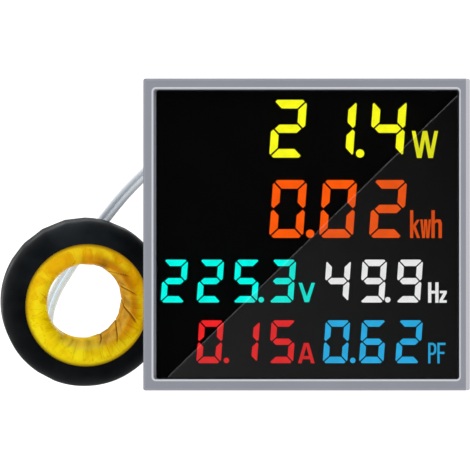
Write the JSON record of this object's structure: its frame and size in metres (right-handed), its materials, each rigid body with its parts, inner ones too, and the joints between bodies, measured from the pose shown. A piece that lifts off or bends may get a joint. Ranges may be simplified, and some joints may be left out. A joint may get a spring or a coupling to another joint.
{
  "type": "digital power meter",
  "caption": "Flush panel power meter with a square bezel, dark window of lit seven-segment readings, rear screw terminals and a ring current transformer on a short twin lead.",
  "frame": {"origin": "middle of the bezel's rear seating plane, which lies on the panel's front face", "axes": "+Z out of the display towards the reader, +X the display's right, +Y its top"},
  "size_m": [0.1136, 0.0746, 0.035],
  "materials": {
    "grey_housing": "fine moulded grain",
    "smoked_acrylic": "polished, see-through",
    "black_mask": "matt",
    "white_reflector": "moulded",
    "yellow_light": "lit diffuser",
    "orange_light": "lit diffuser",
    "cyan_light": "lit diffuser",
    "white_light": "lit diffuser",
    "red_light": "lit diffuser",
    "blue_light": "lit diffuser",
    "unlit_diffuser": "unlit diffuser",
    "led_phosphor": "moulded",
    "circuit_board": "lacquered glass laminate",
    "chip_black": "moulded",
    "tinned_brass": "tinned",
    "plated_steel": "zinc plated",
    "capacitor_grey": "moulded",
    "capacitor_sleeve": "shrunk sleeve",
    "varistor_blue": "dipped",
    "fuse_green": "lacquered",
    "resistor_blue": "lacquered",
    "button_grey": "moulded",
    "black_case": "fine moulded grain",
    "terminal_green": "moulded",
    "core_steel": "wound strip",
    "copper_wire": "enamelled",
    "yellow_tape": "crinkled film tape",
    "black_rubber": "satin",
    "white_pvc": "soft satin"
  },
  "bodies": {
    "meter": {"front_bezel": "grey_housing", "display_lens": "smoked_acrylic", "display_mask": "black_mask", "display_reflector": "white_reflector", "power_segments": "yellow_light", "energy_segments": "orange_light", "voltage_segments": "cyan_light", "frequency_segments": "white_light", "current_segments": "red_light", "power_factor_segments": "blue_light", "unlit_segments": "unlit_diffuser", "led_chips": "led_phosphor", "display_board": "circuit_board", "display_driver_chips": "chip_black", "board_pin_headers": "chip_black", "header_pins": "tinned_brass", "main_board": "circuit_board", "metering_chip": "chip_black", "control_chip": "chip_black", "crystal": "plated_steel", "film_capacitor": "capacitor_grey", "electrolytic_capacitors": "capacitor_sleeve", "varistor": "varistor_blue", "fuse_resistor": "fuse_green", "rectifier": "chip_black", "sampling_resistors": "resistor_blue", "board_screws": "plated_steel", "tact_switch": "black_case", "rear_case": "black_case", "terminal_block": "terminal_green", "contact_plates": "tinned_brass", "ct_core": "core_steel", "ct_winding": "copper_wire", "ct_tape": "yellow_tape", "ct_sleeve": "black_rubber", "ct_lead_boot": "black_rubber", "ct_lead": "white_pvc", "lead_tails": "white_pvc", "lead_bare_ends": "tinned_brass"},
    "tongue_top": {"snap_tongue_top": "black_case"},
    "tongue_bottom": {"snap_tongue_bottom": "black_case"},
    "reset_button": {"reset_plunger": "button_grey", "switch_actuator": "black_case"},
    "screw_1": {"terminal_screw_1": "plated_steel"},
    "screw_2": {"terminal_screw_2": "plated_steel"},
    "screw_3": {"terminal_screw_3": "plated_steel"},
    "screw_4": {"terminal_screw_4": "plated_steel"},
    "cage_1": {"clamp_cage_1": "plated_steel"},
    "cage_2": {"clamp_cage_2": "plated_steel"},
    "cage_3": {"clamp_cage_3": "plated_steel"},
    "cage_4": {"clamp_cage_4": "plated_steel"}
  },
  "joints": [
    {"name": "tongue_top_flex", "type": "hinge", "parent": "meter", "child": "tongue_top", "pos_m": [0, 0.0345, -0.013], "axis": [1, 0, 0], "range_deg": [0, 7], "stiffness_Nm_per_rad": 0.4},
    {"name": "tongue_bottom_flex", "type": "hinge", "parent": "meter", "child": "tongue_bottom", "pos_m": [0, -0.0345, -0.013], "axis": [-1, 0, 0], "range_deg": [0, 7], "stiffness_Nm_per_rad": 0.4},
    {"name": "reset_press", "type": "slide", "parent": "meter", "child": "reset_button", "axis": [0, 0, 1], "range_m": [0, 0.00025], "stiffness_N_per_m": 6000},
    {"name": "screw_1_turn", "type": "hinge", "parent": "meter", "child": "screw_1", "pos_m": [-0.0226, 0.00762, -0.02], "axis": [0, 0, -1], "range_deg": [-1200, 0]},
    {"name": "screw_2_turn", "type": "hinge", "parent": "meter", "child": "screw_2", "pos_m": [-0.0226, 0.0127, -0.02], "axis": [0, 0, -1], "range_deg": [-1200, 0]},
    {"name": "screw_3_turn", "type": "hinge", "parent": "meter", "child": "screw_3", "pos_m": [-0.0226, 0.01778, -0.02], "axis": [0, 0, -1], "range_deg": [0, 1200]},
    {"name": "screw_4_turn", "type": "hinge", "parent": "meter", "child": "screw_4", "pos_m": [-0.0226, 0.02286, -0.02], "axis": [0, 0, -1], "range_deg": [0, 1200]},
    {"name": "cage_1_slide", "type": "slide", "parent": "meter", "child": "cage_1", "axis": [0, 0, 1], "range_m": [-0.0015, 0]},
    {"name": "cage_2_slide", "type": "slide", "parent": "meter", "child": "cage_2", "axis": [0, 0, 1], "range_m": [-0.0015, 0]},
    {"name": "cage_3_slide", "type": "slide", "parent": "meter", "child": "cage_3", "axis": [0, 0, 1], "range_m": [0, 0.0015]},
    {"name": "cage_4_slide", "type": "slide", "parent": "meter", "child": "cage_4", "axis": [0, 0, 1], "range_m": [0, 0.0015]}
  ],
  "couplings": [
    {"joint": "screw_1_turn", "follows": "cage_1_slide", "rad_per_m": 13963},
    {"joint": "screw_2_turn", "follows": "cage_2_slide", "rad_per_m": 13963},
    {"joint": "screw_3_turn", "follows": "cage_3_slide", "rad_per_m": 13963},
    {"joint": "screw_4_turn", "follows": "cage_4_slide", "rad_per_m": 13963}
  ]
}
